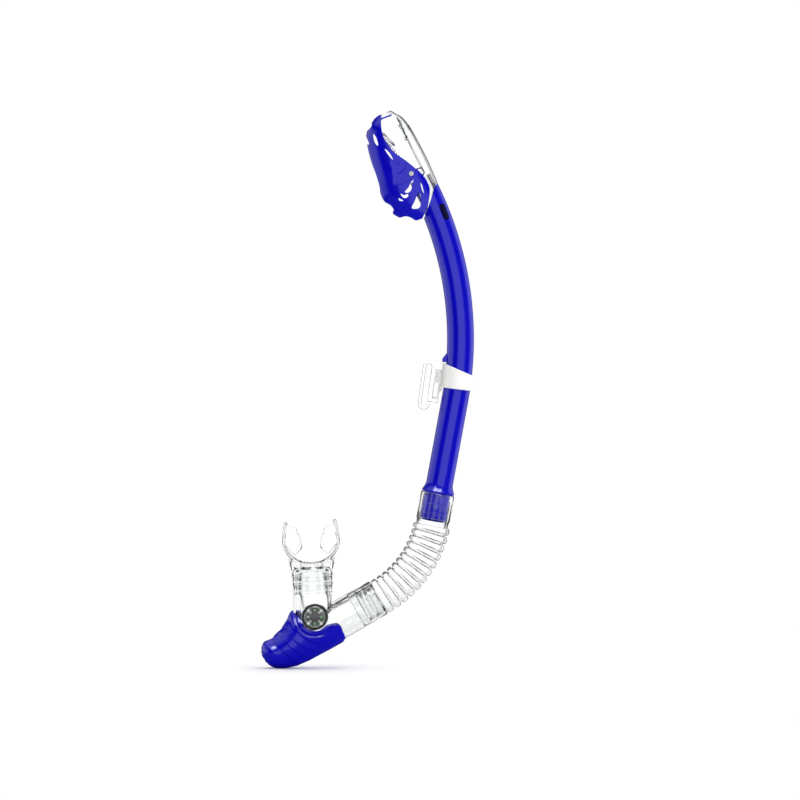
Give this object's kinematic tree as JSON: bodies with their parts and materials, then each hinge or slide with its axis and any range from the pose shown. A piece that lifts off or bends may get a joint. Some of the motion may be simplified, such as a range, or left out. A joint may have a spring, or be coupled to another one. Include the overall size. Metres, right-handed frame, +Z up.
{
  "type": "dry top snorkel",
  "caption": "Dry-top snorkel: bent blue tube, float valve head, strap clip on a band, corrugated drop-away hose, purge housing with compass and a soft bite mouthpiece.",
  "frame": {"origin": "middle of the slot that takes the mask strap, in the clip beside the tube", "axes": "+Z up, along the tube from the mouthpiece end to the dry top; +X from the mouthpiece side towards the outer side of the tube's bend; +Y away from the compass face"},
  "size_m": [0.1716, 0.0389, 0.4453],
  "materials": {
    "blue_plastic": "glossy deep blue moulded plastic",
    "clear_plastic": "clear polycarbonate, polished",
    "clear_silicone": "clear soft silicone, smooth",
    "white_plastic": "white moulded plastic, satin",
    "black_plastic": "black moulded plastic",
    "seal_silicone": "milky soft silicone",
    "float_foam": "closed hollow float, white",
    "steel": "stainless, polished"
  },
  "bodies": {
    "tube": {"main_tube": "blue_plastic", "dry_top_guard": "blue_plastic", "dry_top_dome": "clear_plastic", "neck_spigot": "clear_plastic", "neck_latch": "black_plastic", "valve_seat": "clear_plastic", "hinge_pin": "steel"},
    "float_arm": {"float": "float_foam", "float_lever": "white_plastic", "seal_disc": "seal_silicone"},
    "keeper": {"keeper_band": "white_plastic"},
    "clip": {"strap_clip": "clear_plastic"},
    "hose": {"corrugated_hose": "clear_silicone"},
    "housing": {"mouthpiece_housing": "clear_plastic", "purge_seat": "clear_plastic", "purge_cover": "blue_plastic", "compass_case": "black_plastic", "compass_pivot": "steel", "compass_lens": "clear_plastic", "mouthpiece": "clear_silicone"},
    "diaphragm": {"purge_diaphragm": "seal_silicone"},
    "compass_float": {"compass_card": "black_plastic"}
  },
  "joints": [
    {"name": "float_swing", "type": "hinge", "parent": "tube", "child": "float_arm", "pos_m": [-0.0121, 0, 0.169], "axis": [0, 1, 0], "range_deg": [0, 18]},
    {"name": "keeper_swivel", "type": "hinge", "parent": "tube", "child": "keeper", "pos_m": [0.0252, 0, 0.004], "axis": [0.1219, 0, 0.9925], "range_deg": [-30, 30]},
    {"name": "clip_release", "type": "slide", "parent": "keeper", "child": "clip", "axis": [-0.1392, 0, -0.9903], "range_m": [0, 0.026]},
    {"name": "hose_flex", "type": "hinge", "parent": "tube", "child": "hose", "pos_m": [-0.0096, 0, -0.1444], "axis": [0, 1, 0], "range_deg": [-45, 30], "stiffness_Nm_per_rad": 0.6, "springref_deg": 6.88, "deforming": ["corrugated_hose"]},
    {"name": "housing_swivel", "type": "hinge", "parent": "hose", "child": "housing", "pos_m": [-0.0564, 0, -0.1804], "axis": [0.866, 0, 0.5], "continuous": true},
    {"name": "purge_lift", "type": "slide", "parent": "housing", "child": "diaphragm", "axis": [-0.866, 0, -0.5], "range_m": [0, 0.002], "stiffness_N_per_m": 20, "springref_m": -0.0005},
    {"name": "compass_spin", "type": "hinge", "parent": "housing", "child": "compass_float", "pos_m": [-0.0892, 0, -0.1848], "axis": [0, 1, 0], "continuous": true}
  ]
}
